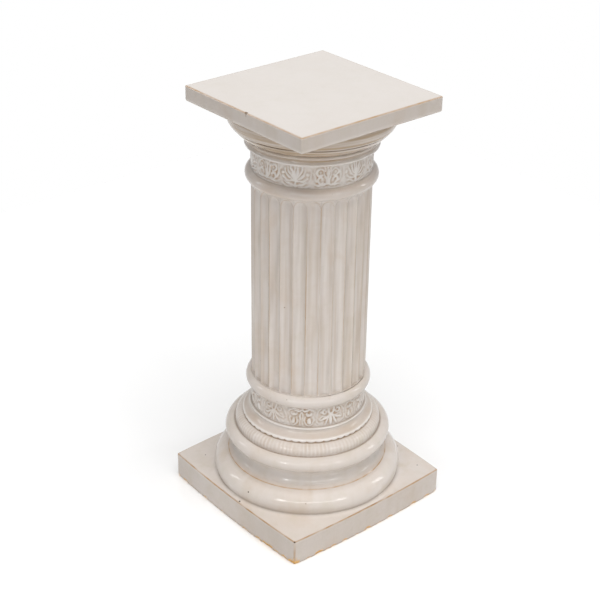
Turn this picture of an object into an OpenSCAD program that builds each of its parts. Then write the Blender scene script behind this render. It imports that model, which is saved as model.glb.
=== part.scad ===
/* [Plinth] */
// side of the square plinth between its corners
plinth_w = 303; // [294:1:320]
// how far each plinth side swells out at its middle
plinth_bow = 5; // [3:0.5:10]
// height of the plinth block
plinth_h = 43; // [38:1:48]

/* [Base mouldings] */
// radius of the bulge of the large lower torus
torus1_r = 150; // [149:0.5:152]
// radius of the round of the lower torus
torus1_tube = 22; // [21.5:0.25:23]
// height of the lip between lower torus and scotia
lip_z = 77.5; // [77:0.5:79]
// radius of the hollow of the scotia
scotia_tube = 17; // [16.5:0.25:18]
// radius of the bulge of the upper torus
torus2_r = 131.4; // [129:0.2:133]
// radius of the round of the upper torus
torus2_tube = 12; // [11.6:0.2:12.6]
// radius of the quarter round under the foot flange
ovolo_r = 115.7; // [114.5:0.1:117]
// radius of the foot flange
flange_r = 103.7; // [102.5:0.1:105]
// thickness of the foot flange
flange_t = 5.5; // [4.5:0.5:6.5]

/* [Shaft] */
// radius of the shaft over its arrises
shaft_r = 89.5; // [89:0.25:91]
// number of flutes
flutes = 28; // [20:1:32]
// depth of a flute below the arrises
flute_depth = 4.2; // [2:0.1:5]
// width of the flat left on each arris
arris_w = 0.8; // [0.6:0.1:2]
// turn of the first arris about the axis
flute_turn = -134.2; // [-180:0.1:180]
// height of the flat lower ends of the flutes
flute_z0 = 223.5; // [223:0.5:226]
// height of the arched tops of the flutes
flute_z1 = 546.5; // [540:0.5:547]
// radius of the ring under the flutes
ring_r = 98.2; // [96:0.2:99.5]
// height of the middle of that ring
ring_z = 212.7; // [212:0.1:213.5]
// radius of the astragal over the flutes
astragal_r = 98.6; // [97:0.2:100]
// height of the middle of the astragal
astragal_z = 558; // [557:0.5:559]

/* [Relief bands] */
// radius of the ground of the two carved bands
band_r = 88.6; // [88:0.2:89.2]
// how far the leaves and scrolls stand out
relief = 2.2; // [1:0.1:3]
// number of motifs round each band, palmettes and scroll pairs in turn
motifs = 12; // [8:2:12]
// turn of the palmettes on the lower band
turn_low = -106.7; // [-180:0.1:180]
// turn of the palmettes on the upper band
turn_up = -145.7; // [-180:0.1:180]

/* [Capital] */
// radius of the fillet over the upper band
fillet_r = 99.2; // [98:0.1:100]
// radius of the lower round of the capital
echinus1_r = 117.5; // [116.5:0.1:119]
// radius of the upper round of the capital
echinus2_r = 126.5; // [124:0.1:128]

/* [Slab] */
// side of the square top slab
slab_w = 261; // [256:1:280]
// thickness of the top slab
slab_t = 24.2; // [16:0.2:26]
// round of the lower edges of the top slab
slab_round = 4; // [2:0.5:7]
// height of the underside of the top slab
slab_z = 656.4; // [656:0.2:664]

/* [Output] */
// node to build

/* [Hidden] */
$fn = 96;
eps = 0.01;
glaze = [0.93, 0.90, 0.86];

// bowed plinth
bow_r = (pow(plinth_w / 2, 2) + pow(plinth_bow, 2)) / (2 * plinth_bow);
bow_c = bow_r - plinth_bow - plinth_w / 2;

// base mouldings, from the plinth up
t1_c = torus1_r - torus1_tube;
t1_z = lip_z - torus1_tube;
t2_c = torus2_r - torus2_tube;
t2_z = 119.2;
scotia_z = 94;
scotia_c = 113.5 + scotia_tube;
ovolo_tube = 12;
ovolo_z = 135.5;
flange_z = ovolo_z + ovolo_tube;
apo_tube = 11;
apo_z = flange_z + flange_t + apo_tube;
bead_z = apo_z + 3;

// shaft
pitch = 360 / flutes;
half_a = pitch / 2 - arris_w / 2 / shaft_r * 180 / PI;
chord = shaft_r * sin(half_a);
chord_d = shaft_r * cos(half_a);
flute_r = (pow(chord, 2) + pow(flute_depth, 2)) / (2 * flute_depth);
flute_d = chord_d - flute_depth + flute_r;
ring_tube = 10.2;
astragal_tube = 9.4;

// relief bands
low_z0 = bead_z + 1;
low_z1 = ring_z - ring_tube + 1;
up_z0 = astragal_z + astragal_tube - 1;
up_z1 = 601;
step = 360 / motifs;
fit_w = min(1, 12 / motifs);

// capital heights
fil_z = 606;
bead_r = 3;
bead2_z = 616.8;
ech1_tube = 38.8;
ech1_z = 655.4;
ech1_z0 = 620.6;
gap_z = 634.4;
gap_t = 1.4;
ech2_tube = 30;
ech2_z = 655;

module box2(r, z0, z1) {
  translate([0, z0]) square([r, z1 - z0]);
}

module round2(r, z, tube) {
  translate([r, z]) circle(tube);
}

module base_profile() {
  box2(t1_c, plinth_h - 8, lip_z);
  intersection() {
    round2(t1_c, t1_z, torus1_tube);
    box2(torus1_r + 5, plinth_h - 8, lip_z + 5);
  }
  difference() {
    box2(t1_c - 1, lip_z - 6, t2_z);
    round2(scotia_c, scotia_z, scotia_tube);
  }
  box2(t2_c, t2_z - torus2_tube, t2_z);
  round2(t2_c, t2_z, torus2_tube);
  box2(ovolo_r, t2_z, ovolo_z);
  round2(ovolo_r - ovolo_tube, ovolo_z, ovolo_tube);
  box2(ovolo_r - ovolo_tube, ovolo_z - 1, flange_z);
  box2(flange_r, flange_z - 3, flange_z + flange_t);
  difference() {
    box2(flange_r - 0.6, flange_z + flange_t - eps, apo_z);
    round2(flange_r - 0.6, apo_z, apo_tube);
  }
  box2(flange_r - 0.6 - apo_tube + 0.5, apo_z - 0.6, bead_z);
}

module shaft_profile() {
  box2(band_r, bead_z - 4, 610);
  round2(ring_r - ring_tube, ring_z, ring_tube);
  box2(shaft_r, ring_z, astragal_z);
  round2(astragal_r - astragal_tube, astragal_z, astragal_tube);
}

module capital_profile() {
  polygon([[0, 596], [band_r, 600], [fillet_r - 1.6, fil_z - 1.8], [fillet_r - 1.6, fil_z + 1.8], [0, fil_z + 1.8]]);
  round2(fillet_r - 2, fil_z, 2);
  difference() {
    box2(fillet_r - 1.6, fil_z, bead2_z);
    round2(fillet_r + 1.6, fil_z + 5.4, 5);
  }
  box2(fillet_r - 1.2, bead2_z - bead_r, ech1_z0 + 1);
  round2(fillet_r - 1.2, bead2_z, bead_r);
  intersection() {
    round2(echinus1_r - 32.7, ech1_z, ech1_tube);
    box2(echinus1_r + 5, ech1_z0, gap_z);
  }
  box2(echinus1_r - 20, ech1_z0, gap_z);
  box2(echinus1_r - 2.5, gap_z - 3, gap_z + gap_t + 3);
  intersection() {
    round2(echinus2_r - ech2_tube, ech2_z, ech2_tube);
    box2(echinus2_r + 5, gap_z + gap_t, ech2_z);
  }
  box2(echinus2_r - ech2_tube, gap_z + gap_t, ech2_z + 1);
  box2(echinus2_r, ech2_z, slab_z + 2);
}

module flute(a) {
  rotate([0, 0, a]) translate([flute_d, 0, 0]) rotate_extrude() intersection() {
    union() {
      translate([0, flute_z1 - chord]) circle(flute_r);
      translate([0, flute_z0]) square([flute_r, flute_z1 - chord - flute_z0]);
    }
    translate([0, flute_z0]) square([flute_r + 1, flute_z1 - flute_z0 + 40]);
  }
}

// pointed leaf standing on the origin
module leaf(l, w) {
  r = (l * l / 4 + w * w / 4) / w;
  intersection() {
    translate([r - w / 2, l / 2]) circle(r);
    translate([w / 2 - r, l / 2]) circle(r);
  }
}

// fan of leaves, long in the middle, with a rounded root
module palmette(h) {
  for (k = [-2:2]) rotate(k * 27) leaf(h * (1 - 0.09 * abs(k)), h * 0.23);
  circle(h * 0.13);
}

// two volutes back to back on a short stem
module scrolls(h) {
  for (s = [-1, 1]) translate([s * h * 0.29, h * 0.42]) difference() {
    circle(h * 0.25);
    translate([s * h * 0.04, h * 0.02]) circle(h * 0.14);
  }
  leaf(h * 0.95, h * 0.2);
}

module band(z, h, turn, up) {
  intersection() {
    union() {
      for (i = [0:motifs - 1]) rotate([0, 0, turn + i * step]) translate([band_r - 4, 0, z]) rotate([90, 0, 90])
        linear_extrude(height = 8) scale(fit_w) {
          if (i % 2 == 0) mirror([0, up ? 0 : 1]) translate([0, -h / 2]) palmette(h);
          else mirror([0, up ? 0 : 1]) translate([0, -h / 2]) scrolls(h);
        }
    }
    translate([0, 0, z - h]) cylinder(r = band_r + relief, h = 2 * h);
  }
}

module plinth() {
  linear_extrude(height = plinth_h) intersection() {
    intersection() {
      translate([bow_c, 0]) circle(bow_r, $fn = 1440);
      translate([-bow_c, 0]) circle(bow_r, $fn = 1440);
    }
    intersection() {
      translate([0, bow_c]) circle(bow_r, $fn = 1440);
      translate([0, -bow_c]) circle(bow_r, $fn = 1440);
    }
  }
}

module slab_side() {
  rotate([90, 0, 0]) translate([0, 0, -slab_w]) linear_extrude(height = 2 * slab_w) {
    translate([-slab_w / 2, slab_round]) square([slab_w, slab_t - slab_round]);
    translate([slab_round - slab_w / 2, 0]) square([slab_w - 2 * slab_round, slab_t]);
    for (s = [-1, 1]) translate([s * (slab_w / 2 - slab_round), slab_round]) circle(slab_round);
  }
}

module slab() {
  translate([0, 0, slab_z]) intersection() {
    slab_side();
    rotate([0, 0, 90]) slab_side();
  }
}

module column() color(glaze) {
  difference() {
    rotate_extrude() union() {
      base_profile();
      shaft_profile();
      capital_profile();
    }
    for (i = [0:flutes - 1]) flute(flute_turn + (i + 0.5) * pitch);
  }
  band((low_z0 + low_z1) / 2, low_z1 - low_z0 - 7, turn_low, false);
  band((up_z0 + up_z1) / 2, up_z1 - up_z0 - 5, turn_up, true);
  plinth();
  slab();
}

column();
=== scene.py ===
import bpy
import math
import numpy as np
from mathutils import Matrix, Vector


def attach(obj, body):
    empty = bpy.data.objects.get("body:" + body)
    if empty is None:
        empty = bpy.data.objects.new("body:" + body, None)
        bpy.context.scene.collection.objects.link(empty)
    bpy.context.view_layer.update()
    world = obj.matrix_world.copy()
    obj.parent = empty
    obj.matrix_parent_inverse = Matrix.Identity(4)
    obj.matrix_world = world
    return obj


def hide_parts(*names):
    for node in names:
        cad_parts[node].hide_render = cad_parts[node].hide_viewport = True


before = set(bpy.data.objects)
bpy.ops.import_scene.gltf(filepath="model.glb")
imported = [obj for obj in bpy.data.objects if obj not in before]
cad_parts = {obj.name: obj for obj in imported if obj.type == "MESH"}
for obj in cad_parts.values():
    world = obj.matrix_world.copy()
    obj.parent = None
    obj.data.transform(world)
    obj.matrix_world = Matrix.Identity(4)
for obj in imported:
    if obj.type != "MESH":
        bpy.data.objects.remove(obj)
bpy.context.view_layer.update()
WORLD_E = 0.17

PI = math.pi
TAU = 2 * PI
RAD = PI / 180

# ---------------------------------------------------------------- sizes, mm
W = 303.0          # plinth side between corners
BOW = 5.0          # swelling of each plinth side
PH = 43.0          # plinth height
SLAB_W = 261.0
SLAB_Z = 656.4
TOP = 680.6
SHAFT_R = 89.5
BAND_R = 88.6
FLUTES = 28
FLUTE_TURN = -134.2
FLUTE_DEPTH = 4.2
FLUTE_Z0, FLUTE_Z1 = 223.5, 546.5
RING_R, RING_Z = 98.2, 212.7
AST_R, AST_Z = 98.6, 558.0
LOW_Z0, LOW_Z1 = 167.6, 203.2
UP_Z0, UP_Z1 = 566.6, 600.6
TURN_LOW = -106.7  # direction of the lower band's palmettes, degrees
TURN_UP = -145.7   # direction of the upper band's palmettes
N_RIBS = 116
N_SCALLOPS = 54

rng = np.random.default_rng(41)


def smooth(e0, e1, x):
    t = np.clip((x - e0) / (e1 - e0), 0.0, 1.0)
    return t * t * (3 - 2 * t)


def waves(seed, count, n_lo, n_hi, m_hi):
    """Smooth noise of angle and height, periodic in angle, about -1 to 1."""
    g = np.random.default_rng(seed)
    n = g.integers(n_lo, n_hi + 1, count)
    m = g.uniform(-m_hi, m_hi, count)
    p = g.uniform(0, TAU, count)
    a = g.uniform(0.5, 1.0, count)
    a = a / np.sqrt((a ** 2).sum() / 2)

    def f(th, z):
        out = 0.0
        for k in range(count):
            out = out + a[k] * np.sin(n[k] * th + m[k] * z + p[k])
        return out * 0.5

    return f


wob_r = waves(3, 9, 1, 9, 0.05)
wob_z = waves(4, 9, 1, 9, 0.05)
wob_f = waves(5, 14, 8, 40, 0.25)
tan_n = waves(6, 16, 4, 60, 0.30)
tan_l = waves(7, 8, 1, 11, 0.06)
warp_x = waves(31, 12, 10, 70, 0.45)
warp_y = waves(32, 12, 10, 70, 0.45)
fl_n = waves(33, 14, 3, 40, 0.6)

# ---------------------------------------------------------------- mesh made of stacked loops


class Stack:
    """Closed skin made of loops from the underside up to the top face."""

    def __init__(self):
        self.th, self.p, self.at = [], [], []

    def loop(self, th, r, z, **at):
        n = len(th)
        r = np.broadcast_to(np.asarray(r, float), (n,))
        z = np.broadcast_to(np.asarray(z, float), (n,))
        self.xyz(th, np.stack([r * np.cos(th), r * np.sin(th), z], 1), **at)

    def xyz(self, th, pts, **at):
        n = len(th)
        self.th.append(np.asarray(th, float))
        self.p.append(np.asarray(pts, float))
        self.at.append({k: np.broadcast_to(np.asarray(at.get(k, 0.0), float), (n,)) for k in ATTRS})

    def mesh(self, name):
        verts = np.concatenate([[[0, 0, self.p[0][:, 2].mean()]]] + self.p + [[[0, 0, self.p[-1][:, 2].mean()]]])
        start = np.cumsum([1] + [len(p) for p in self.p])
        faces = []
        n0 = len(self.th[0])
        for i in range(n0):
            faces.append((0, 1 + (i + 1) % n0, 1 + i))
        for k in range(len(self.p) - 1):
            a, b = self.th[k], self.th[k + 1]
            A, B = start[k], start[k + 1]
            n, m = len(a), len(b)
            if n == m and np.abs(a - b).max() < 1e-9:
                i = np.arange(n)
                j = (i + 1) % n
                faces += list(zip((A + i).tolist(), (A + j).tolist(), (B + j).tolist(), (B + i).tolist()))
                continue
            i = j = 0
            while i < n or j < m:
                na = a[i + 1] if i + 1 < n else a[0] + TAU
                nb = b[j + 1] if j + 1 < m else b[0] + TAU
                if j >= m or (i < n and na <= nb):
                    faces.append((A + i % n, A + (i + 1) % n, B + j % m))
                    i += 1
                else:
                    faces.append((A + i % n, B + (j + 1) % m, B + j % m))
                    j += 1
        nl, sl = len(self.th[-1]), start[len(self.p) - 1]
        last = len(verts) - 1
        for i in range(nl):
            faces.append((sl + i, sl + (i + 1) % nl, last))
        me = bpy.data.meshes.new(name)
        me.from_pydata((verts * 0.001).tolist(), [], [tuple(int(v) for v in f) for f in faces])
        me.update()
        for key in ATTRS:
            vals = np.concatenate([[self.at[0][key].mean()]] + [a[key] for a in self.at] + [[self.at[-1][key].mean()]])
            at = me.attributes.new(key, "FLOAT", "POINT")
            at.data.foreach_set("value", vals.astype(np.float32))
        me.shade_smooth()
        return me


# crev: painted shade in creases and hollows and on some faces, with some real dirt; pale: painted highlights and
# lighter tops
ATTRS = ("tan", "crev", "clay", "pale", "foot")


def ring_angles(n, turn=0.0):
    th = (np.arange(n) / n * TAU + turn + PI) % TAU - PI
    return np.sort(th)


# ---------------------------------------------------------------- outline of plinth and slab


def outline(half, bow, rc, n=400):
    """Rounded square with swelling sides, as (angles, radii) of a dense polygon over the full turn."""
    # one side, from corner to corner along +x, then turned four times
    y = np.linspace(-half, half, n)
    x = half + bow * (1 - (y / half) ** 2)
    side = np.stack([x, y], 1)
    # rounding of the corners: cut the square off by a circle of radius rc at each corner
    pts = []
    for k in range(4):
        c, s = math.cos(k * PI / 2), math.sin(k * PI / 2)
        pts.append(np.stack([side[:, 0] * c - side[:, 1] * s, side[:, 0] * s + side[:, 1] * c], 1)[:-1])
    p = np.concatenate(pts)
    th = np.arctan2(p[:, 1], p[:, 0])
    r = np.hypot(p[:, 0], p[:, 1])
    o = np.argsort(th)
    th, r = th[o], r[o]
    slope = 2 * bow / half
    inner = math.atan(slope)
    # corner arc: centre on the diagonal
    q = []
    half_ang = PI / 4 - inner          # half the angle of the corner's turn
    d = rc / math.cos(half_ang) if half_ang > 0 else rc
    # sides meet at an angle of 90 degrees plus twice the slope: centre sits d inside along the diagonal
    cx = half * math.sqrt(2) - rc / math.sin(PI / 4 + inner)
    for k in range(4):
        diag = PI / 4 + k * PI / 2
        for t in np.linspace(-half_ang, half_ang, 15):
            a = diag + t
            q.append((cx * math.cos(diag) + rc * math.cos(a), cx * math.sin(diag) + rc * math.sin(a)))
    q = np.array(q)
    qth, qr = np.arctan2(q[:, 1], q[:, 0]), np.hypot(q[:, 0], q[:, 1])
    # keep side points only outside the corner arcs
    keep = np.ones(len(th), bool)
    for k in range(4):
        seg = qth[k * 15:(k + 1) * 15]
        diag = (PI / 4 + k * PI / 2 + PI) % TAU - PI
        w = np.abs((seg - diag + PI) % TAU - PI).max()
        keep &= np.abs((th - diag + PI) % TAU - PI) > w + 1e-4
    th = np.concatenate([th[keep], qth])
    r = np.concatenate([r[keep], qr])
    o = np.argsort(th)
    return th[o], r[o]


def outline_r(th, half, bow, rc):
    a, r = outline(half, bow, rc)
    a = np.concatenate([a - TAU, a, a + TAU])
    r = np.concatenate([r, r, r])
    x = np.interp(th, a, r * np.cos(a))
    y = np.interp(th, a, r * np.sin(a))
    return np.hypot(x, y)


def side_angles(half, step, extra=()):
    """Angles whose points lie about step mm apart along a square's sides, closer at the corners and at extra spots."""
    t = [0.0]
    while t[-1] < half:
        d = half - t[-1]
        t.append(t[-1] + min(step, max(0.5, 0.45 * d)) if d > 0.6 else half)
    t = np.array(t)
    t[-1] = half
    t = np.concatenate([-t[::-1][:-1], t])
    base = np.arctan2(t, half)[:-1]
    th = np.concatenate([base + k * PI / 2 for k in range(4)])
    for diag in (PI / 4, 3 * PI / 4, 5 * PI / 4, 7 * PI / 4):
        th = np.concatenate([th, diag + np.array([-0.012, -0.006, 0.006, 0.012])])
    for centre, width, n in extra:
        th = np.concatenate([th, centre + np.linspace(-width, width, n)])
    th = (th + PI) % TAU - PI
    th = np.unique(np.round(th, 6))
    keep = np.concatenate([[True], np.diff(th) > 0.0016])
    return th[keep]


# ---------------------------------------------------------------- relief of the two bands


def poly(*pts):
    return np.array(pts, float)


def bez(p0, p1, p2, p3, n=10):
    t = np.linspace(0, 1, n)[:, None]
    p0, p1, p2, p3 = map(np.asarray, (p0, p1, p2, p3))
    return (1 - t) ** 3 * p0 + 3 * (1 - t) ** 2 * t * p1 + 3 * (1 - t) * t ** 2 * p2 + t ** 3 * p3


def spiral(cx, cy, r0, r1, a0, a1, n=16):
    t = np.linspace(0, 1, n)
    r = r0 + (r1 - r0) * t
    a = (a0 + (a1 - a0) * t) * RAD
    return np.stack([cx + r * np.cos(a), cy + r * np.sin(a)], 1)


def taper(n, a, m, b):
    """Half widths along a stroke: a at its root, m at its widest, b at its tip."""
    t = np.linspace(0, 1, n)
    return np.where(t < 0.62, a + (m - a) * smooth(0, 0.62, t), m + (b - m) * smooth(0.62, 1, t))


def stroke_height(X, Y, pts, hw, h):
    """Height of a rounded ridge along a polyline of varying half width."""
    out = np.zeros_like(X)
    for k in range(len(pts) - 1):
        a, b = pts[k], pts[k + 1]
        ab = b - a
        L2 = max((ab ** 2).sum(), 1e-9)
        t = np.clip(((X - a[0]) * ab[0] + (Y - a[1]) * ab[1]) / L2, 0, 1)
        dx, dy = X - a[0] - t * ab[0], Y - a[1] - t * ab[1]
        w = hw[k] + (hw[k + 1] - hw[k]) * t
        q = 1 - (dx * dx + dy * dy) / (w * w)
        out = np.maximum(out, h * np.sqrt(np.clip(q, 0, 1)))
    return out


def mirror_x(p):
    q = p.copy()
    q[:, 0] *= -1
    return q


def leaf_stroke(x0, y0, ang, length, curl, n=9):
    """Centre line of a leaf from its root, leaning by ang degrees and curling outwards."""
    a = ang * RAD
    t = np.linspace(0, 1, n)
    bend = curl * RAD * t ** 2
    dx = np.sin(a + bend)
    dy = np.cos(a + bend)
    step = length / (n - 1)
    x = x0 + np.concatenate([[0], np.cumsum(dx[:-1] * step)])
    y = y0 + np.concatenate([[0], np.cumsum(dy[:-1] * step)])
    return np.stack([x, y], 1)


def both(parts):
    """Each stroke and its mirror image."""
    out = []
    for p, hw, h in parts:
        hw = np.asarray(hw, float) if not np.isscalar(hw) else np.full(len(p), float(hw))
        out.append((p, hw, h))
        out.append((mirror_x(p), hw, h))
    return out


def drop(x, y, r):
    """A boss at one point."""
    return (poly((x, y + 0.05), (x, y - 0.05)), np.array([r, r], float))


def ring_stroke(x, y, r, hw, h):
    """A closed ring."""
    return (spiral(x, y, r, r, 0, 360, 18), np.full(18, hw), h)


def petal(x, y, ang, length, curl, w, h=2.4, root=1.2, tip=1.3):
    p = leaf_stroke(x, y, ang, length, curl, 11)
    t = np.linspace(0, 1, 11)
    hw = np.where(t < 0.72, root + (w - root) * smooth(0, 0.72, t), w + (tip - w) * smooth(0.72, 1, t))
    return (p, hw, h)


def palmette_strokes():
    """Upper band: a fan of petals whose outer pair curls up into lobes, over a stem."""
    s = [(poly((0, -4.0), (0, 4.0), (0, 15.8)), np.array([1.5, 2.0, 1.3]), 2.5)]
    parts = [
        (bez((0.8, -3.6), (2.6, 2.0), (4.4, 6.0), (4.9, 15.0), 11), taper(11, 0.9, 1.75, 1.2), 2.4),
        (bez((1.4, -4.2), (4.8, 0.2), (9.0, 5.0), (9.6, 14.2), 11), taper(11, 0.9, 1.85, 1.2), 2.4),
        (bez((1.8, -5.0), (8.0, -2.6), (13.6, 1.6), (13.9, 11.8), 11), taper(11, 1.0, 1.85, 1.3), 2.3),
        (bez((1.4, -6.2), (8.0, -6.8), (14.4, -6.0), (17.6, -1.2), 10), taper(10, 1.2, 1.8, 1.6), 2.3),
        (*drop(17.7, 4.4, 2.7), 2.4),
        # leaf that closes the motif towards its neighbour
        (bez((20.8, 14.0), (23.0, 10.0), (24.0, 3.0), (20.6, -4.6), 9), taper(9, 0.7, 1.15, 0.7), 1.7),
        (bez((15.5, -8.4), (11.5, -9.0), (7.5, -12.6), (2.0, -13.2), 9), taper(9, 1.5, 1.9, 1.2), 2.1),
        (bez((4.0, -16.0), (10.0, -14.6), (15.0, -15.8), (21.0, -12.4), 9), taper(9, 1.0, 1.6, 1.2), 2.0),
    ]
    s += both(parts)
    s.append((poly((0, -4.6), (0, -14.0)), np.array([2.0, 1.6]), 2.4))
    return s


def lotus_strokes():
    """Upper band: a stem with two rings on each side, the upper ring round a boss."""
    s = [(poly((0, -9.5), (0, 4.0), (0, 16.0)), np.array([1.5, 1.8, 1.2]), 2.4)]
    parts = [
        (bez((2.0, -8.4), (3.2, -3.0), (3.8, 1.0), (4.2, 5.4), 9), taper(9, 1.0, 1.5, 0.9), 2.2),
        (bez((3.0, 9.6), (2.6, 12.0), (3.4, 14.0), (5.8, 15.8), 7), taper(7, 0.9, 1.4, 0.9), 2.1),
        (spiral(11.2, 7.0, 7.0, 3.9, 205, -125, 20), taper(20, 0.9, 1.75, 1.3), 2.4),
        (*drop(11.6, 7.4, 1.7), 1.9),
        (spiral(10.9, -3.4, 5.8, 2.7, -125, 185, 20), taper(20, 0.9, 1.8, 1.3), 2.3),
        (bez((18.0, 13.0), (20.6, 8.0), (20.6, 0.0), (17.0, -5.5), 9), taper(9, 0.9, 1.4, 0.9), 1.9),
        (bez((0.5, -10.0), (5.0, -10.2), (12.0, -13.4), (20.6, -9.6), 10), taper(10, 1.5, 1.9, 1.1), 2.2),
        (bez((1.5, -14.6), (6.0, -15.6), (10.0, -16.2), (17.0, -15.2), 8), taper(8, 0.9, 1.2, 0.8), 1.7),
    ]
    s += both(parts)
    return s


def hanging_palmette_strokes():
    """Lower band, drawn upside down: five broad petals, and two rings beside the stem at their root."""
    s = [(poly((0, 1.6), (0, 8.0), (0, 14.0), (0, 16.2)), np.array([1.7, 2.5, 2.2, 1.2]), 2.5)]
    parts = [
        (bez((0.6, -1.2), (4.4, 1.2), (5.4, 8.0), (9.6, 15.6), 11), taper(11, 0.9, 2.0, 1.2), 2.4),
        (bez((0.8, -2.4), (7.0, -1.2), (10.6, 6.6), (17.4, 5.4), 11), taper(11, 0.9, 2.3, 1.7), 2.4),
        (bez((8.6, -0.6), (12.6, -1.6), (16.0, 0.8), (18.4, 3.0), 9), taper(9, 0.8, 1.3, 0.9), 1.9),
        (spiral(10.8, -8.6, 3.7, 3.1, 200, -110, 16), taper(16, 1.0, 1.5, 1.2), 2.2),
        (bez((0.6, -3.0), (3.6, -5.0), (4.2, -9.0), (4.4, -15.0), 8), taper(8, 1.3, 1.7, 1.1), 2.2),
        (bez((15.4, -14.6), (19.8, -11.0), (22.0, -6.0), (22.4, 1.0), 9), taper(9, 0.9, 1.5, 1.0), 1.9),
        (bez((16.0, 14.6), (20.0, 13.0), (22.6, 9.0), (23.0, 4.0), 8), taper(8, 0.9, 1.3, 0.8), 1.8),
    ]
    s += both(parts)
    s.append((*drop(0, -2.6, 2.6), 2.5))
    return s


def pendant_strokes():
    """Lower band, between the palmettes: two drops in cups below a garland, with a stem."""
    s = []
    parts = [
        (bez((0, 14.6), (2.6, 10.6), (8.2, 10.4), (11.4, 14.2), 10), taper(10, 1.5, 2.2, 1.4), 2.4),
        (bez((11.4, 14.2), (14.0, 15.8), (18.0, 14.0), (20.5, 9.0), 9), taper(9, 1.3, 1.7, 0.9), 2.1),
        (bez((7.6, 7.4), (8.0, 2.4), (15.6, 2.4), (16.0, 7.4), 11), taper(11, 1.2, 1.9, 1.2), 2.4),
        (*drop(11.8, 5.0, 2.4), 2.2),
        (poly((12.2, -3.4), (12.2, -6.0), (12.2, -9.0), (12.2, -11.0)), [2.3, 3.8, 3.3, 1.6], 2.7),
        (bez((18.0, 0.6), (19.8, -5.0), (18.6, -12.0), (12.4, -15.4), 10), taper(10, 1.0, 1.4, 1.2), 1.9),
        (bez((6.4, 0.6), (4.6, -5.0), (5.8, -12.0), (12.0, -15.4), 10), taper(10, 1.0, 1.4, 1.2), 1.9),
        (bez((1.0, 9.4), (2.4, 4.0), (2.6, -4.0), (1.9, -14.6), 9), taper(9, 1.1, 1.5, 1.0), 2.0),
    ]
    s += both(parts)
    return s


def flip(strokes):
    out = []
    for p, hw, h in strokes:
        q = p.copy()
        q[:, 1] *= -1
        out.append((q, hw, h))
    return out


def band_height(th, zrel, turn, lower):
    """Relief height on the grid of th (n) by zrel (m), in mm."""
    arc = BAND_R * RAD
    out = np.zeros((len(zrel), len(th)))
    sets = ((0.0, flip(hanging_palmette_strokes()) if lower else palmette_strokes()), (30.0, pendant_strokes() if lower else lotus_strokes()))
    g = np.random.default_rng(11 if lower else 12)
    for k in range(6):
        for off, strokes in sets:
            jit = g.uniform(-0.5, 0.5)
            lean = g.uniform(-0.05, 0.05)
            amp = g.uniform(0.85, 1.05)
            grow = g.uniform(0.96, 1.05)
            c = turn + off + 60 * k + jit * 0.4
            d = (np.degrees(th) - c + 180) % 360 - 180
            sel = np.where(np.abs(d) < 17.0)[0]
            X, Y = np.meshgrid(d[sel] * arc, zrel)
            T = np.broadcast_to(th[sel], X.shape)
            X, Y = (X + lean * Y + 1.1 * warp_x(T, Y)) * grow, Y + 1.0 * warp_y(T, Y)
            h = np.zeros_like(X)
            for p, hw, hh in strokes:
                h = np.maximum(h, stroke_height(X, Y, p, hw * g.uniform(0.9, 1.08), hh * amp * g.uniform(0.88, 1.0)))
            out[:, sel] = np.maximum(out[:, sel], h)
    return out


def blur(a, n):
    """Box blur twice along both axes; the first axis is clamped and the second wraps."""
    for _ in range(2):
        pad = np.concatenate([np.repeat(a[:1], n, 0), a, np.repeat(a[-1:], n, 0)])
        c = np.cumsum(np.concatenate([np.zeros((1, a.shape[1])), pad]), 0)
        a = (c[2 * n + 1:] - c[:-(2 * n + 1)]) / (2 * n + 1)
        pad = np.concatenate([a[:, -n:], a, a[:, :n]], 1)
        c = np.cumsum(np.concatenate([np.zeros((a.shape[0], 1)), pad], 1), 1)
        a = (c[:, 2 * n + 1:] - c[:, :-(2 * n + 1)]) / (2 * n + 1)
    return a


# ---------------------------------------------------------------- the column's skin
S = Stack()

# chips along the plinth: angle seen from the axis (degrees), height, radius, depth, how much clay shows
CHIPS = [
    (-135.8, 0.5, 7.5, 1.3, 1.0), (-134.3, 3.6, 4.2, 1.2, 0.8),
    (139.9, 0.5, 4.5, 1.8, 0.9), (171.5, 0.0, 3.4, 1.4, 0.8), (-175.0, 0.0, 3.0, 1.2, 0.6), (-167.6, 0.5, 4.2, 1.8, 0.9),
    (-160.5, 0.0, 3.0, 1.2, 0.7), (-156.5, 0.5, 5.2, 2.0, 1.0), (-152.2, 0.0, 5.6, 1.9, 1.0), (-148.6, 0.8, 6.0, 2.2, 1.0), (-144.2, 0.3, 4.6, 1.8, 0.9), (-140.2, 0.5, 5.0, 1.8, 0.9),
    (-129.0, 0.0, 3.6, 1.3, 0.8), (-124.0, 0.8, 5.6, 2.2, 1.0), (-119.6, 0.0, 3.6, 1.4, 0.8), (-115.9, 0.5, 4.4, 1.8, 0.9), (-108.8, 0.5, 4.4, 1.8, 0.9), (-100.5, 0.0, 3.2, 1.3, 0.7),
    (-91.8, 0.6, 5.2, 2.1, 1.0), (-83.0, 0.0, 3.0, 1.2, 0.7), (-74.8, 0.5, 4.6, 1.9, 0.9), (-67.0, 0.0, 3.0, 1.2, 0.6), (-58.2, 0.6, 5.0, 2.0, 0.9), (-50.1, 0.4, 4.6, 1.8, 0.9), (-44.7, 0.6, 5.0, 1.9, 0.9),
    (-24.0, 0.0, 3.6, 1.4, 0.8), (-9.0, 0.5, 4.6, 1.8, 0.9), (12.0, 0.5, 4.0, 1.6, 0.8), (31.0, 0.0, 3.4, 1.3, 0.8), (44.8, 0.6, 5.8, 2.2, 1.0), (63.0, 0.3, 4.2, 1.7, 0.9),
    (82.0, 0.0, 3.4, 1.3, 0.7), (104.0, 0.6, 5.0, 2.0, 1.0), (121.0, 0.0, 3.6, 1.4, 0.8), (134.6, 0.6, 5.4, 2.0, 0.9), (156.0, 0.4, 4.4, 1.8, 0.8),
]
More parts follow.
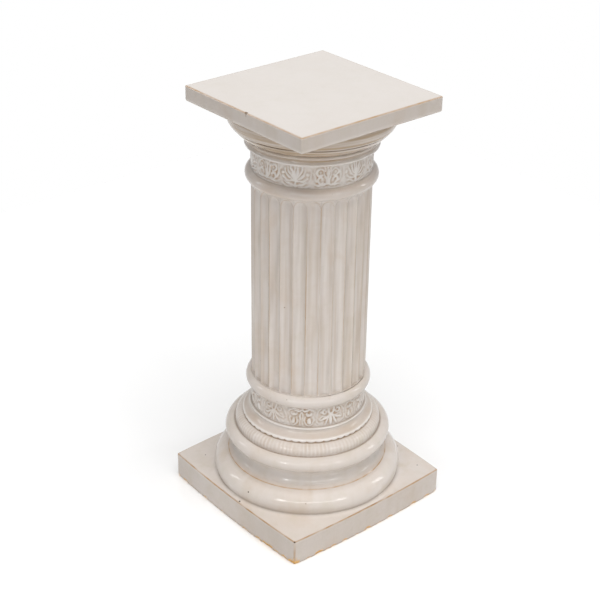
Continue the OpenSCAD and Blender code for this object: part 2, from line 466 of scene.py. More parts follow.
# small breaks along the plinth's upper edge
NICKS = [(177.9, 2.4, 0.5), (-155.3, 2.2, 0.5), (-81.0, 2.6, 0.5), (-135.1, 1.7, 0.7), (-104.0, 2.0, 0.4), (-52.0, 2.2, 0.4), (-12.0, 2.4, 0.5), (40.0, 2.0, 0.4), (97.0, 2.6, 0.5), (128.0, 2.0, 0.4)]

pl_extra = [(a * RAD, max(0.016, r / 160 * 1.2), 7) for a, z, r, d, c in CHIPS]
th_p = side_angles(W / 2, 7.0, pl_extra)


def plinth_loop(inset, z, crown=0.0, **at):
    rc = max(2.6 - inset, 0.8)
    r = outline_r(th_p, W / 2 - inset - 0.11, BOW, rc)
    zz = np.full(len(th_p), float(z))
    clay = np.zeros(len(th_p))
    for a, cz, cr, cd, cc in CHIPS:
        dx = ((np.degrees(th_p) - a + 180) % 360 - 180) * RAD * r
        d2 = (dx / cr) ** 2 + ((z - cz) / (cr * 0.7)) ** 2
        bite = np.clip(1 - d2 * (1 + 0.25 * np.sin(dx * 1.7 + a) + 0.2 * np.sin(dx * 3.1 + z)), 0, 1)
        r = r - cd * np.sqrt(bite) * 0.8
        clay = np.maximum(clay, cc * smooth(1.75, 1.3, d2 * (1 + 0.25 * np.sin(dx * 1.7 + a))))
    at = dict(at)
    at["clay"] = np.maximum(at.get("clay", 0.0), clay)
    # glaze runs thin on the upright edges
    dc = ((np.degrees(th_p) - 45 + 45) % 90 - 45) * RAD * r
    thin = 0.7 * smooth(2.4, 0.8, np.abs(dc)) * smooth(0.5, 2.5, z) * np.clip(0.75 + 0.5 * tan_n(th_p, z * 0.5), 0, 1)
    at["tan"] = np.maximum(at.get("tan", 0.0), thin)
    S.loop(th_p, r, zz, **at)


# underside, unglazed, with the glaze wiped off its rim
for sc in (0.25, 0.5, 0.75):
    S.loop(th_p, outline_r(th_p, W / 2, BOW, 3.2) * sc, 0.0, foot=1.0)
plinth_loop(9.0, 0.0, foot=1.0)
plinth_loop(3.0, 0.0, foot=1.0)
rb = 1.7
for k, a in enumerate((-90, -60, -30, 0)):
    wear = 0.9 if k == 0 else 0.0
    plinth_loop(rb * (1 - math.cos(a * RAD)), rb + rb * math.sin(a * RAD), foot=max(0.0, 1 - k * 0.45), tan=np.clip((0.0, 0.6, 0.9, 0.6)[k] * (0.85 + 0.5 * tan_n(th_p, 5.0)), 0, 1), crev=(0, 0.25, 0.26, 0.16)[k])
# plinth sides, darkened all over with painted shade
for z in (2.6, 3.6, 4.8, 7.0, 13.0, 22.0, 31.0, 37.5):
    plinth_loop(0.25 * math.sin((z - 3) / 36 * PI), z, crev=0.21)
rt = 2.0
edge_tan = (0.0, 0.7, 1.0, 0.9, 0.14)
for k, a in enumerate((0, 24, 46, 66, 90)):
    n = tan_n(th_p, 0.0) * 0.35 + tan_l(th_p, 3.0) * 0.3
    t = np.clip(edge_tan[k] * (0.84 + n), 0, 1)
    for na, nr, nc in NICKS:
        dx = ((np.degrees(th_p) - na + 180) % 360 - 180) * RAD * 158
        t = np.maximum(t, nc * edge_tan[k] * smooth(nr, nr * 0.4, np.abs(dx)) * 1.6)
    plinth_loop(rt * (1 - math.cos(a * RAD)), PH - rt + rt * math.sin(a * RAD), tan=np.clip(t, 0, 1), crev=(0.16, 0.24, 0.30, 0.22, 0.03)[k])

# top face of the plinth to the glaze fillet round the torus, with a faint painted shade
r_edge = outline_r(th_p, W / 2 - rt, BOW, 0.8)
for t, dz in ((0.05, 0.0), (0.25, 0.0), (0.55, 0.0), (0.85, 0.0)):
    rr = r_edge * (1 - t) + 153.7 * t
    S.loop(th_p, rr, PH + 0.25 * (wob_z(th_p, 7.0) - 1.0) * (1 if 0.1 < t else 0) - 0.02, crev=0.02)

NB = 160
th_b = ring_angles(NB)


def round_loop(th, r, z, amp=0.18, **at):
    S.loop(th, r + amp * wob_r(th, z) - amp, z + amp * 0.8 * wob_z(th, z), **at)


# glaze fillet round the foot of the torus, with painted shade growing into the crease
for r, z, cr in ((153.3, 43.15, 0.0), (151.0, 43.7, 0.05), (149.0, 44.7, 0.25), (148.0, 45.9, 0.55)):
    round_loop(th_b, r, z, 0.12, crev=np.clip(cr * (0.8 + 0.35 * tan_l(th_b, 1.0)), 0, 1))


def arc(cx, cz, rr, a0, a1, n):
    a = np.linspace(a0, a1, n) * RAD
    return np.stack([cx + rr * np.cos(a), cz + rr * np.sin(a)], 1)


# lower torus, with painted shade in the crease at its foot
tor = arc(128.0, 55.5, 22.0, -18, 88, 14)
for k, (r, z) in enumerate(tor):
    if k == 0:
        r, z = 148.3, 47.2
    elif k == 1:
        r, z = 149.3, 50.4
    elif k == 2:
        r, z = 149.8, 53.4
    round_loop(th_b, min(r, 150.0), z, 0.22, crev=(0.3 if k == 0 else 0.0))

# lip, with the glaze thin on its edge
lip_t = np.clip(0.75 + 0.35 * tan_l(th_b, 60.0) + 0.25 * tan_n(th_b, 9.0), 0.05, 1)
for r, z, w in ((127.9, 77.45, 0.25), (127.2, 77.75, 1.0), (126.75, 78.2, 1.0), (126.3, 78.9, 0.3)):
    round_loop(th_b, r, z, 0.15, tan=w * lip_t)

# scotia: painted shade just under the upper torus, painted light lifting its deep part
for k, (r, z) in enumerate(arc(130.5, 94.0, 17.0, 250, 131, 14)):
    if z < 79.4:
        continue
    dep = smooth(126.5, 113.5, r)
    round_loop(th_b, r, z, 0.15, crev=np.clip(0.75 * smooth(99.5, 103.2, z) * (0.75 + 0.4 * tan_l(th_b, 40.0) + 0.25 * tan_n(th_b, z)), 0, 1), pale=0.4 * dep)

# upper torus, with painted shade in the creases at its foot and top
for k, (r, z) in enumerate(arc(119.4, 119.2, 12.0, -88, 104, 16)):
    c = 0.0
    if k == 0:
        c = 0.8
    if k == 1:
        c = 0.35
    if k == 15:
        c = 0.75
    round_loop(th_b, r, z, 0.2, crev=c)

# ribbed quarter round: painted shade in the crease at its foot and between the ribs, painted highlight on the rib
# crests
NR = N_RIBS * 4
th_r = ring_angles(NR, FLUTE_TURN * RAD)
rib_phase = waves(21, 6, 1, 7, 0.0)


def ribs(z):
    ph = N_RIBS * th_r + 1.1 * rib_phase(th_r, 0.0)
    return np.cos(ph), np.clip(0.62 + 0.45 * wob_f(th_r, z) + 0.2 * rib_phase(th_r, 3.0), 0.1, 1.2)


for k, (r, z) in enumerate(arc(103.7, 135.5, 12.0, -22, 84, 13)):
    if k == 0:
        r, z = 115.3, 131.2
    c, m = ribs(z)
    env = smooth(0, 2.5, k) * smooth(13.5, 9.5, k)
    d = 0.30 * env * m * c - 0.3 * env
    n = np.array([math.cos(math.atan2(z - 135.5, r - 103.7)), math.sin(math.atan2(z - 135.5, r - 103.7))])
    S.loop(th_r, r + d * n[0] + 0.12 * wob_r(th_r, z), z + d * n[1], crev=np.clip((0.6 if k == 0 else 0.0) + 0.05 * m * env * (1 - c) * 0.5, 0, 1), tan=np.clip(0.10 * m * env * (1 - c), 0, 1), pale=0.3 * env * m * (c > 0.3))

# foot flange with its scalloped lower edge: painted shade in the scallops, painted highlight on the rounded rim above
# them
sc_ph = waves(22, 5, 1, 9, 0.0)
scal = np.abs(np.cos(0.5 * (N_SCALLOPS * th_r + 0.9 * sc_ph(th_r, 0.0))))      # 1 at a lobe, 0 between lobes
lobes = np.sqrt(np.clip(scal, 0, 1))
gap = 1 - lobes
uneven = 0.8 + 0.3 * wob_f(th_r, 4.0)
rim_t = np.clip(0.75 + 0.4 * tan_l(th_r, 22.0) + 0.2 * tan_n(th_r, 3.0), 0.15, 1)
S.loop(th_r, 102.6, 147.6, crev=0.35, tan=0.35)
S.loop(th_r, 101.9 - 0.3 * gap, 147.9 + 0.9 * gap * uneven, crev=0.5 * rim_t, tan=0.8)
S.loop(th_r, 102.6 - 1.0 * gap, 148.2 + 1.9 * gap * uneven, crev=0.15 + 0.4 * gap * rim_t, tan=0.9 * rim_t)
S.loop(th_r, 103.5 - 1.0 * gap, 148.9 + 2.3 * gap * uneven, crev=0.4 * gap * rim_t, tan=(0.35 + 0.5 * gap) * rim_t)
S.loop(th_r, 103.7 - 0.5 * gap, 150.2 + 1.6 * gap * uneven, tan=0.25 * gap, pale=0.8)
S.loop(th_r, 103.65 - 0.15 * gap, 151.9 + 0.5 * gap, pale=1.0)
S.loop(th_r, 103.1, 153.0 + 0.1 * gap, pale=1.0)
S.loop(th_r, 102.3, 153.4, pale=0.8)

# apophyge, faintly darkened with painted shade, then a bead with a painted highlight and painted shade where it meets
# the band
for k, (r, z) in enumerate(arc(103.1, 165.0, 11.0, 268, 184, 10)):
    if k == 0:
        continue
    round_loop(th_b, r, z, 0.12, tan=np.clip((0.15 + 0.08 * tan_l(th_b, 12.0)) * smooth(0, 2, k) * smooth(9, 6, k), 0, 1), crev=0.08)
for r, z, p, c in ((92.7, 165.3, 0.6, 0), (93.2, 166.0, 1.0, 0), (93.2, 167.0, 1.0, 0), (92.4, 167.8, 0.6, 0), (91.0, 168.2, 0.0, 0.35), (89.4, 168.4, 0.0, 0.6)):
    round_loop(th_b, r, z, 0.1, pale=p, crev=c)

# the two carved bands
NBAND = 600
th_d = ring_angles(NBAND)


def carved(z0, z1, turn, lower, rows):
    zs = np.linspace(z0, z1, rows)
    zc = (z0 + z1) / 2
    h = band_height(th_d, zs - zc, turn, lower)
    edge = smooth(z0, z0 + 1.6, zs) * smooth(z1, z1 - 1.6, zs)
    h = h * (0.3 + 0.7 * edge)[:, None]
    soft = blur(h, 1)
    hb = soft * 0.6 + h * 0.4
    T, Z = np.meshgrid(th_d, zs)
    # hollows of the relief get painted shade and pooled brown glaze; the whole band is lightened with painted light,
    # more on the ridges
    gap = np.clip((blur(h, 2) - hb - 0.10) * 1.6, 0, 1) * smooth(1.7, 0.6, hb)
    ptch = smooth(-0.5, 1.2, tan_l(T, Z) + 0.7 * tan_n(T, Z * 0.6))
    recess_shade_and_dirt = np.clip(gap * (0.85 + 0.35 * ptch), 0, 1)
    low = smooth(1.2, 0.2, hb)
    for k, z in enumerate(zs):
        S.loop(th_d, BAND_R - 0.25 + hb[k] + 0.12 * wob_r(th_d, z), z, crev=recess_shade_and_dirt[k] * (0.36 if lower else 0.26), tan=np.clip(recess_shade_and_dirt[k] * (0.66 if lower else 0.74) + (0.03 + 0.16 * ptch[k] ** 2) * low[k], 0, 1), pale=np.clip((0.36 if lower else 0.62) + smooth(1.0, 2.2, hb[k]) * 0.6 - 0.5 * recess_shade_and_dirt[k], 0, 1))


carved(168.8, 202.2, TURN_LOW, True, 34)

# ring under the flutes, with painted shade in the crease at its foot
for k, (r, z) in enumerate(arc(RING_R - 10.2, RING_Z, 10.2, -84, 80, 13)):
    round_loop(th_b, r, z, 0.2, crev=(0.9 if k == 0 else 0.4 if k == 1 else 0.0))

# fluted shaft, with painted shade at the foot of the flutes and in their hollows
pitch = 360 / FLUTES
half_a = pitch / 2 - 0.4 / SHAFT_R / RAD
chord = SHAFT_R * math.sin(half_a * RAD)
chord_d = SHAFT_R * math.cos(half_a * RAD)
fl_r = (chord ** 2 + FLUTE_DEPTH ** 2) / (2 * FLUTE_DEPTH)
fl_d = chord_d - FLUTE_DEPTH + fl_r
cols = np.array([0.0, 0.045, 0.085, 0.15, 0.25, 0.37, 0.5, 0.63, 0.75, 0.85, 0.915, 0.955])
th_f = np.sort(((FLUTE_TURN + (np.arange(FLUTES)[:, None] + cols[None, :]) * pitch).ravel() * RAD + PI) % TAU - PI)
loc = ((np.degrees(th_f) - FLUTE_TURN) / pitch) % 1.0
dang = (loc - 0.5) * pitch * RAD                     # angle from the flute's middle
arris = np.minimum(loc, 1 - loc) * pitch * RAD * SHAFT_R   # mm from the arris
fl_id = np.floor((np.degrees(th_f) - FLUTE_TURN) / pitch + 0.5).astype(int) % FLUTES
g = np.random.default_rng(77)
ar_gain = g.uniform(0.35, 1.0, FLUTES)
ar_z = g.uniform(0, TAU, FLUTES)


def fluted(z):
    dz = max(0.0, (FLUTE_Z0 + 1.5 - z) * chord / 1.5, z - (FLUTE_Z1 - chord))
    q = fl_r ** 2 - (fl_d * np.sin(dang)) ** 2 - dz * dz
    rho = fl_d * np.cos(dang) - np.sqrt(np.clip(q, 0, None))
    rho = np.where(q <= 0, SHAFT_R + 5, rho)
    k = 0.35
    # soft minimum of the drum and the flute
    d = np.clip(0.5 + 0.5 * (rho - SHAFT_R) / k, 0, 1)
    r = rho * (1 - d) + SHAFT_R * d - k * d * (1 - d)
    cut = smooth(0.05, 0.8, SHAFT_R - r)
    t = smooth(1.15, 0.25, arris)
    near = np.clip(0.62 + 0.38 * np.sin(ar_z[fl_id] + z * 0.021) + 0.25 * tan_n(th_f, z * 0.3), 0, 1)
    end = smooth(FLUTE_Z0 - 0.5, FLUTE_Z0 + 2, z) * smooth(FLUTE_Z1 - 7.5, FLUTE_Z1 - 10, z)
    c = SHAFT_R - r
    rim = smooth(0.0, 0.3, c) * smooth(1.5, 0.6, c) * 0.75 * near * smooth(FLUTE_Z1 - 10, FLUTE_Z1 - 7.5, z)
    tan = np.maximum(t * ar_gain[fl_id] * near * end, rim)
    # painted shade in the flute hollows, patchy, and darker arris lines where the glaze breaks
    hollow_shade_and_arris = 0.20 * cut * smooth(0.1, 1.2, fl_n(th_f, z * 0.12)) + 0.26 * t * ar_gain[fl_id] * near
    return r, np.clip(tan, 0, 1), cut, hollow_shade_and_arris


zs = np.concatenate([[222.7, 223.2, 223.55, 223.8, 224.1, 224.5, 225.05, 226.0, 228.0, 236.0], np.linspace(262, 508, 7), [531.0, 535.4, 538.2, 540.4, 542.2, 543.6, 544.7, 545.6, 546.3, 547.0, 548.4]])
for z in zs:
    r, t, cut, hollow_shade_and_arris = fluted(z)
    S.loop(th_f, r + 0.14 * wob_r(th_f, z * 0.4), z, tan=t, crev=np.clip((0.4 if z < 223.3 else 0.0) + (0.30 * cut if z < 224.6 else 0.0) + hollow_shade_and_arris, 0, 1))

# astragal, with painted shade in the creases at its foot and top
for k, (r, z) in enumerate(arc(AST_R - 9.4, AST_Z, 9.4, -86, 88, 13)):
    round_loop(th_b, r, z, 0.2, crev=(0.7 if k == 0 else 0.3 if k in (1, 12) else 0.0))

carved(567.6, 600.4, TURN_UP, False, 34)

# capital: fillet, cavetto, bead, two rounds with deep joints between them; painted shade in the joints and creases,
# painted highlight on the bead
NC = 156
th_c = ring_angles(NC)


def cap(r, z, amp=0.15, **at):
    round_loop(th_c, r, z, amp, **at)


cap(89.2, 601.4, crev=0.9)
cap(92.0, 602.3, crev=0.7)
cap(96.0, 603.7, crev=0.25)
for r, z in arc(97.2, 606.0, 2.0, -60, 70, 6):
    cap(r, z, pale=1.0)
cap(97.0, 608.3, pale=0.4)
cap(96.2, 609.8, tan=0.10)
cap(95.9, 611.6, tan=0.14)
cap(96.3, 613.2, crev=0.45)
for r, z in arc(98.0, 616.8, 3.0, -70, 70, 6):
    cap(r, z)
joint = np.clip(0.85 + 0.5 * tan_l(th_c, 30.0), 0.2, 1)
cap(98.6, 620.0, crev=0.85 * joint)
cap(98.2, 620.7, crev=1.0 * joint)
cap(101.0, 620.95, crev=0.8 * joint)
for k, (r, z) in enumerate(arc(84.8, 655.4, 38.8, -61.5, -35.0, 9)):
    cap(r, z, crev=(0.25 if k == 0 else 0.0))
j2 = np.clip(0.9 + 0.4 * tan_l(th_c, 55.0), 0.35, 1)
cap(117.15, 633.8, crev=0.35 * j2)
cap(116.6, 634.3, crev=0.9 * j2)
cap(115.4, 634.5, crev=1.0)
cap(115.4, 635.5, crev=1.0)
cap(118.4, 635.9, crev=0.9 * j2)
for k, (r, z) in enumerate(arc(96.5, 655.0, 30.0, -39.2, 0, 9)):
    cap(r, z, crev=(0.25 if k == 0 else 0.0))
cap(126.4, 655.5)
cap(126.1, 656.05, crev=0.5)
cap(125.4, 656.42, crev=0.9)

# slab
th_s = side_angles(SLAB_W / 2, 7.0, [(-175.3 * RAD, 0.04, 15)])


def slab_loop(inset, z, **at):
    r = outline_r(th_s, SLAB_W / 2 - inset, 0.3, max(1.9 - inset, 0.8))
    r = np.minimum(r, outline_r(th_s, SLAB_W / 2 - inset, 0.0, max(1.9 - inset, 0.8)) + 0.0)
    zz = np.full(len(th_s), float(z))
    # chip on the upper edge of one side
    dx = ((np.degrees(th_s) + 175.3 + 180) % 360 - 180) * RAD * 134
    d2 = (dx / 3.4) ** 2 + ((z - 679.6) / 2.6) ** 2
    bite = np.clip(1 - d2, 0, 1)
    r = r - 1.7 * np.sqrt(bite)
    at = dict(at)
    at["crev"] = np.maximum(at.get("crev", 0.0), 0.9 * smooth(0, 0.4, bite))
    S.loop(th_s, r, zz, **at)


def blend_loop(t, z, **at):
    r = (1 - t) * 125.2 + t * outline_r(th_s, SLAB_W / 2 - 4.4, 0.0, 0.8)
    S.loop(th_s, r, z, **at)


# underside of the slab where it meets the capital: painted shade fading outwards
blend_loop(0.05, SLAB_Z + 0.07, crev=0.9)
blend_loop(0.12, SLAB_Z + 0.07, crev=0.6)
blend_loop(0.4, SLAB_Z + 0.07, crev=0.25)
blend_loop(0.7, SLAB_Z + 0.07, crev=0.1)
blend_loop(0.97, SLAB_Z + 0.07, crev=0.05)
# lower rounding of the slab with a painted highlight along it
rl = 4.0
for k, a in enumerate((-90, -72, -54, -36, -18, 0)):
    slab_loop(rl * (1 - math.cos(a * RAD)), SLAB_Z + 0.06 + rl + rl * math.sin(a * RAD), pale=(0.2, 0.5, 0.8, 0.8, 0.3, 0)[k])
# slab sides, darkened all over with painted shade
for z in (663.5, 668.5, 673.5, 677.5):
    slab_loop(0.15, z, crev=0.14)
ru = 1.9
st = (0.1, 0.75, 1.0, 0.85, 0.25)
for k, a in enumerate((0, 26, 48, 68, 90)):
    n = tan_n(th_s, 40.0) * 0.2 + tan_l(th_s, 9.0) * 0.2
    slab_loop(ru * (1 - math.cos(a * RAD)), TOP - ru - 0.03 + ru * math.sin(a * RAD), tan=np.clip(st[k] * (0.72 + n), 0, 1))
r_top = outline_r(th_s, SLAB_W / 2 - ru, 0.0, 0.8)
# top face, lightened with painted light
for sc, dip in ((0.985, 0.02), (0.94, 0.06), (0.82, 0.12), (0.62, 0.18), (0.4, 0.2), (0.2, 0.2)):
    S.loop(th_s, r_top * sc, TOP - 0.03 - dip * (1 + 0.5 * wob_z(th_s, sc * 30)), pale=0.6)

me = S.mesh("column_glazed")
col = bpy.data.objects.new("column_glazed", me)
bpy.context.collection.objects.link(col)

# ---------------------------------------------------------------- glaze


def srgb(r, g, b):
    def f(c):
        c /= 255.0
        return c / 12.92 if c <= 0.04045 else ((c + 0.055) / 1.055) ** 2.4
    return (f(r), f(g), f(b), 1.0)


mat = bpy.data.materials.new("glaze")
mat.use_nodes = True
nt = mat.node_tree
nt.nodes.clear()
N = nt.nodes.new
Lk = nt.links.new
out = N("ShaderNodeOutputMaterial")
bs = N("ShaderNodeBsdfPrincipled")
Lk(bs.outputs["BSDF"], out.inputs["Surface"])
tc = N("ShaderNodeTexCoord")


def attr(name):
    a = N("ShaderNodeAttribute")
    a.attribute_type = "GEOMETRY"
    a.attribute_name = name
    return a.outputs["Fac"]


def noise(scale, detail=4.0, rough=0.55, dist=0.0, stretch=None):
    n = N("ShaderNodeTexNoise")
    n.inputs["Scale"].default_value = scale
    n.inputs["Detail"].default_value = detail
    n.inputs["Roughness"].default_value = rough
    n.inputs["Distortion"].default_value = dist
    if stretch:
        m = N("ShaderNodeMapping")
        m.inputs["Scale"].default_value = stretch
        Lk(tc.outputs["Object"], m.inputs["Vector"])
        Lk(m.outputs["Vector"], n.inputs["Vector"])
    else:
        Lk(tc.outputs["Object"], n.inputs["Vector"])
    return n.outputs["Fac"]


def ramp(fac, *stops):
    r = N("ShaderNodeValToRGB")
    cr = r.color_ramp
    cr.elements[0].position, cr.elements[0].color = stops[0]
    cr.elements[1].position, cr.elements[1].color = stops[-1]
    for p, c in stops[1:-1]:
        e = cr.elements.new(p)
        e.color = c
    Lk(fac, r.inputs["Fac"])
    return r.outputs["Color"]


def rng_map(fac, a, b, lo, hi):
    m = N("ShaderNodeMapRange")
    m.inputs["From Min"].default_value = a
    m.inputs["From Max"].default_value = b
    m.inputs["To Min"].default_value = lo
    m.inputs["To Max"].default_value = hi
    m.clamp = True
    Lk(fac, m.inputs["Value"])
    return m.outputs["Result"]


def mult(a, b):
    m = N("ShaderNodeMath")
    m.operation = "MULTIPLY"
    m.use_clamp = True
    for i, v in enumerate((a, b)):
        if isinstance(v, (int, float)):
            m.inputs[i].default_value = v
        else:
            Lk(v, m.inputs[i])
    return m.outputs[0]


def mixc(fac, a, b):
    m = N("ShaderNodeMix")
    m.data_type = "RGBA"
    m.blend_type = "MIX"
    for sock, v in ((m.inputs[0], fac), (m.inputs[6], a), (m.inputs[7], b)):
        if isinstance(v, (tuple, float, int)):
            sock.default_value = v
        else:
            Lk(v, sock)
    return m.outputs[2]


CREAM = srgb(212, 203, 196)
CREAM_D = srgb(206, 196, 187)
PAINTED_LIGHT_TINT = srgb(230, 225, 220)
TAN = srgb(176, 136, 90)
BROWN = srgb(106, 82, 52)
OCHRE = srgb(222, 178, 108)
BISCUIT = srgb(196, 168, 128)
# pits in the glaze: place and radius, mm
PITS = [(-150.6, -150.3, 42.3, 1.9), (133.4, -122.0, 43.0, 1.3), (146.4, -61.7, 43.0, 1.2), (-152.5, -17.9, 43.2, 1.8), (-144.9, -30.4, 64.5, 1.5),
        (-84.3, -19.2, 427.0, 1.1), (-83.3, -22.9, 428.3, 0.9), (62.0, 155.2, 42.4, 1.4), (-118.0, 118.5, 43.0, 1.3), (104.0, 96.0, 62.0, 1.4)]

n_big = noise(9.0, 3.0, 0.5)
n_mid = noise(42.0, 4.0, 0.6)
n_fine = noise(260.0, 3.0, 0.6)
base = mixc(rng_map(n_big, 0.32, 0.68, 0.0, 1.0), CREAM_D, CREAM)
base = mixc(rng_map(n_mid, 0.52, 0.75, 0.0, 0.35), base, srgb(196, 188, 170))
# painted light: highlights on edges, crests and ridges, and lighter tops, mixed into the base colour
base = mixc(mult(attr("pale"), 0.75), base, PAINTED_LIGHT_TINT)
sx = N("ShaderNodeSeparateXYZ")
Lk(tc.outputs["Object"], sx.inputs["Vector"])
# faint upright streaks where the glaze ran, and wider stains
n_run = noise(34.0, 3.0, 0.6, 0.3, (1.0, 1.0, 0.10))
on_top = rng_map(sx.outputs["Z"], 0.678, 0.6798, 1.0, 0.15)
base = mixc(mult(rng_map(n_run, 0.50, 0.74, 0.0, 0.26), on_top), base, srgb(188, 173, 152))
n_thin = noise(120.0, 2.0, 0.6, 0.0, (1.0, 1.0, 0.03))
on_shaft = mult(rng_map(sx.outputs["Z"], 0.222, 0.226, 0.0, 1.0), rng_map(sx.outputs["Z"], 0.540, 0.546, 1.0, 0.0))
base = mixc(mult(rng_map(n_thin, 0.50, 0.68, 0.0, 0.34), on_shaft), base, srgb(182, 160, 134))
base = mixc(mult(rng_map(n_thin, 0.48, 0.34, 0.0, 0.40), on_shaft), base, srgb(224, 217, 210))
n_stain = noise(15.0, 4.0, 0.6, 0.6)
base = mixc(mult(rng_map(n_stain, 0.50, 0.68, 0.0, 0.24), on_top), base, srgb(194, 171, 147))
neck = mult(rng_map(sx.outputs["Z"], 0.5475, 0.5495, 0.0, 1.0), rng_map(sx.outputs["Z"], 0.566, 0.568, 1.0, 0.0))
base = mixc(mult(neck, rng_map(noise(22.0, 3.0, 0.6, 0.4, (0.5, 0.5, 3.0)), 0.40, 0.62, 0.02, 0.28)), base, srgb(188, 156, 126))
# turned lines round the capital, darker than the rest
n_turn = noise(26.0, 3.0, 0.6, 0.2, (0.22, 0.22, 9.0))
in_cap = mult(rng_map(sx.outputs["Z"], 0.6085, 0.6105, 0.0, 1.0), rng_map(sx.outputs["Z"], 0.6588, 0.6594, 1.0, 0.0))
base = mixc(mult(in_cap, rng_map(n_turn, 0.40, 0.64, 0.22, 0.86)), base, srgb(160, 134, 100))
# small iron specks in the glaze
sp = N("ShaderNodeTexVoronoi")
sp.feature = "F1"
sp.inputs["Scale"].default_value = 62.0
sp.inputs["Randomness"].default_value = 1.0
Lk(tc.outputs["Object"], sp.inputs["Vector"])
spk = mult(mult(rng_map(sp.outputs["Distance"], 0.045, 0.10, 1.0, 0.0), rng_map(noise(17.0, 2.0), 0.62, 0.68, 0.0, 0.6)), on_top)
base = mixc(spk, base, srgb(120, 90, 58))
# thin glaze over edges; in the carved bands and between the ribs also painted shade in the hollows
tan_f = mult(attr("tan"), rng_map(n_mid, 0.30, 0.62, 0.72, 1.0))
base = mixc(tan_f, base, TAN)
# painted shade in creases, hollows and over the plinth and slab sides, with some dirt and pooled glaze
shade_and_dirt_f = mult(attr("crev"), rng_map(n_fine, 0.25, 0.7, 0.75, 1.0))
base = mixc(shade_and_dirt_f, base, BROWN)
# dark pits at fixed places
for px, py, pz, pr in PITS:
    vm = N("ShaderNodeVectorMath")
    vm.operation = "DISTANCE"
    Lk(tc.outputs["Object"], vm.inputs[0])
    vm.inputs[1].default_value = (px / 1000, py / 1000, pz / 1000)
    base = mixc(rng_map(vm.outputs["Value"], pr * 0.0006, pr * 0.001, 0.92, 0.0), base, srgb(58, 44, 32))
clay_f = attr("clay")
base = mixc(clay_f, base, mixc(rng_map(n_fine, 0.35, 0.7, 0.0, 1.0), OCHRE, srgb(186, 136, 74)))
base = mixc(attr("foot"), base, mixc(n_mid, BISCUIT, srgb(172, 140, 98)))
Lk(base, bs.inputs["Base Color"])
rough = N("ShaderNodeMath")
rough.operation = "MAXIMUM"
Lk(rng_map(n_mid, 0.3, 0.7, 0.07, 0.13), rough.inputs[0])
mx = N("ShaderNodeMath")
mx.operation = "MAXIMUM"
Lk(mult(clay_f, 0.8), mx.inputs[0])
Lk(mult(attr("foot"), 0.85), mx.inputs[1])
Lk(mx.outputs[0], rough.inputs[1])
Lk(rough.outputs[0], bs.inputs["Roughness"])
bs.inputs["IOR"].default_value = 1.5
# bump: slow swell of the glaze, orange peel and pin holes
b1 = N("ShaderNodeBump")
b1.inputs["Strength"].default_value = 0.22
b1.inputs["Distance"].default_value = 0.0012
Lk(noise(28.0, 2.0, 0.5), b1.inputs["Height"])
b2 = N("ShaderNodeBump")
b2.inputs["Strength"].default_value = 0.18
b2.inputs["Distance"].default_value = 0.00018
Lk(noise(420.0, 2.0, 0.5), b2.inputs["Height"])
Lk(b1.outputs["Normal"], b2.inputs["Normal"])
Lk(b2.outputs["Normal"], bs.inputs["Normal"])
me.materials.append(mat)

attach(col, "root")
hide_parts("column")

# ---------------------------------------------------------------- floor, light, camera
scene = bpy.context.scene
scene.view_settings.view_transform = "Standard"
scene.view_settings.look = "None"
scene.view_settings.exposure = 0.0
scene.view_settings.gamma = 1.0

FL = 1.25
fm = bpy.data.meshes.new("floor")
fm.from_pydata([(-FL, -FL, -0.0002), (FL, -FL, -0.0002), (FL, FL, -0.0002), (-FL, FL, -0.0002)], [], [(0, 1, 2, 3)])
floor = bpy.data.objects.new("floor", fm)
bpy.context.collection.objects.link(floor)
fmat = bpy.data.materials.new("floor_white")
fmat.use_nodes = True
fb = fmat.node_tree.nodes["Principled BSDF"]
fb.inputs["Base Color"].default_value = (0.88, 0.88, 0.88, 1)
fb.inputs["Roughness"].default_value = 0.12
fb.inputs["Specular IOR Level"].default_value = 0.8
fb.inputs["Emission Color"].default_value = (1, 1, 1, 1)
fb.inputs["Emission Strength"].default_value = 0.07
fm.materials.append(fmat)

world = bpy.data.worlds.new("studio")
world.use_nodes = True
wt = world.node_tree
bg = wt.nodes["Background"]
bg.inputs["Color"].default_value = (1.0, 1.0, 1.0, 1)
lp = wt.nodes.new("ShaderNodeLightPath")
mr = wt.nodes.new("ShaderNodeMapRange")
mr.inputs["To Min"].default_value = 1.0
mr.inputs["To Max"].default_value = WORLD_E
wt.links.new(lp.outputs["Is Diffuse Ray"], mr.inputs["Value"])
wt.links.new(mr.outputs["Result"], bg.inputs["Strength"])
scene.world = world


def area(name, loc, target, size, radiance, color=(1, 1, 1), size_y=None):
    """A soft box whose face has the given radiance, where 1 is the white of the picture."""
    l = bpy.data.lights.new(name, "AREA")
    l.shape = "RECTANGLE"
    l.size = size
    l.size_y = size_y or size
    l.energy = radiance * PI * l.size * l.size_y
    l.color = color
    o = bpy.data.objects.new(name, l)
    o.location = loc
    o.rotation_euler = (Vector(target) - Vector(loc)).to_track_quat("-Z", "Y").to_euler()
    bpy.context.collection.objects.link(o)
    return o


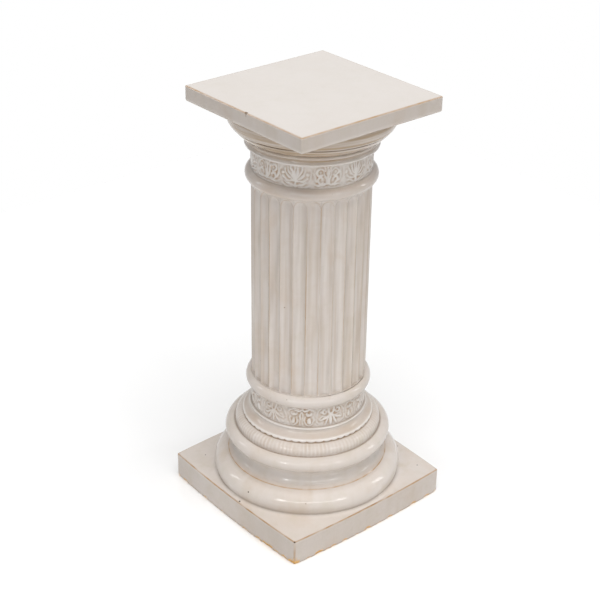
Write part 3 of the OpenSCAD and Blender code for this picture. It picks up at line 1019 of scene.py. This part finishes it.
b = 0.300
f_px, dist, el, yo, po, ro = 1394.5, 7.145 * b, 28.390 * RAD, 0.442 * RAD, 0.076 * RAD, 0.802 * RAD
turn = (-135.0 + 94.258) * RAD
eye = Vector((0, -dist * math.cos(el), 1.13 * b + dist * math.sin(el)))
yaw, pit = PI / 2 + yo, -el + po
fwd = Vector((math.cos(yaw) * math.cos(pit), math.sin(yaw) * math.cos(pit), math.sin(pit)))
right = Vector((math.sin(yaw), -math.cos(yaw), 0))
upv = right.cross(fwd)
r2 = math.cos(ro) * right + math.sin(ro) * upv
u2 = -math.sin(ro) * right + math.cos(ro) * upv
R = Matrix.Rotation(turn, 4, "Z")
cam_m = Matrix(((r2.x, u2.x, -fwd.x, eye.x), (r2.y, u2.y, -fwd.y, eye.y), (r2.z, u2.z, -fwd.z, eye.z), (0, 0, 0, 1)))
cd = bpy.data.cameras.new("cam")
cd.sensor_width = 36.0
cd.lens = f_px / 600 * 36.0
cd.clip_start, cd.clip_end = 0.05, 60
cam = bpy.data.objects.new("cam", cd)
cam.matrix_world = R @ cam_m
bpy.context.collection.objects.link(cam)
scene.camera = cam


def at(az, dist_, z):
    """A point at azimuth az degrees from the camera's own direction, positive to the camera's right."""
    a = -90 * RAD + turn + az * RAD
    return (dist_ * math.cos(a), dist_ * math.sin(a), z)


def polar(az, el_, dist_, aim=0.35):
    """A point at azimuth az and elevation el_, both in degrees, seen from a point on the axis at height aim."""
    x, y, z = at(az, dist_ * math.cos(el_ * RAD), aim + dist_ * math.sin(el_ * RAD))
    return (x, y, z)


sun = bpy.data.lights.new("overhead", "SUN")
sun.energy = 0.83 * PI
sun.angle = 52 * RAD
so = bpy.data.objects.new("overhead", sun)
so.visible_glossy = False
so.rotation_euler = (-Vector(polar(18, 76, 1.0, 0.0))).to_track_quat("-Z", "Y").to_euler()
bpy.context.collection.objects.link(so)
area("box_right", polar(43, 20, 2.6), (0, 0, 0.35), 0.44, 3.9, size_y=0.74)
area("box_left", polar(-30, 20, 2.6), (0, 0, 0.35), 0.42, 5.6, size_y=0.74)
area("strip", polar(5, 20, 2.1), (0, 0, 0.35), 2.9, 5.2, size_y=0.2)
area("side_right", polar(99, 24, 2.6), (0, 0, 0.3), 0.4, 5.0, size_y=0.9)
area("side_left", polar(-101, 24, 2.6), (0, 0, 0.3), 0.3, 5.0, size_y=0.9)
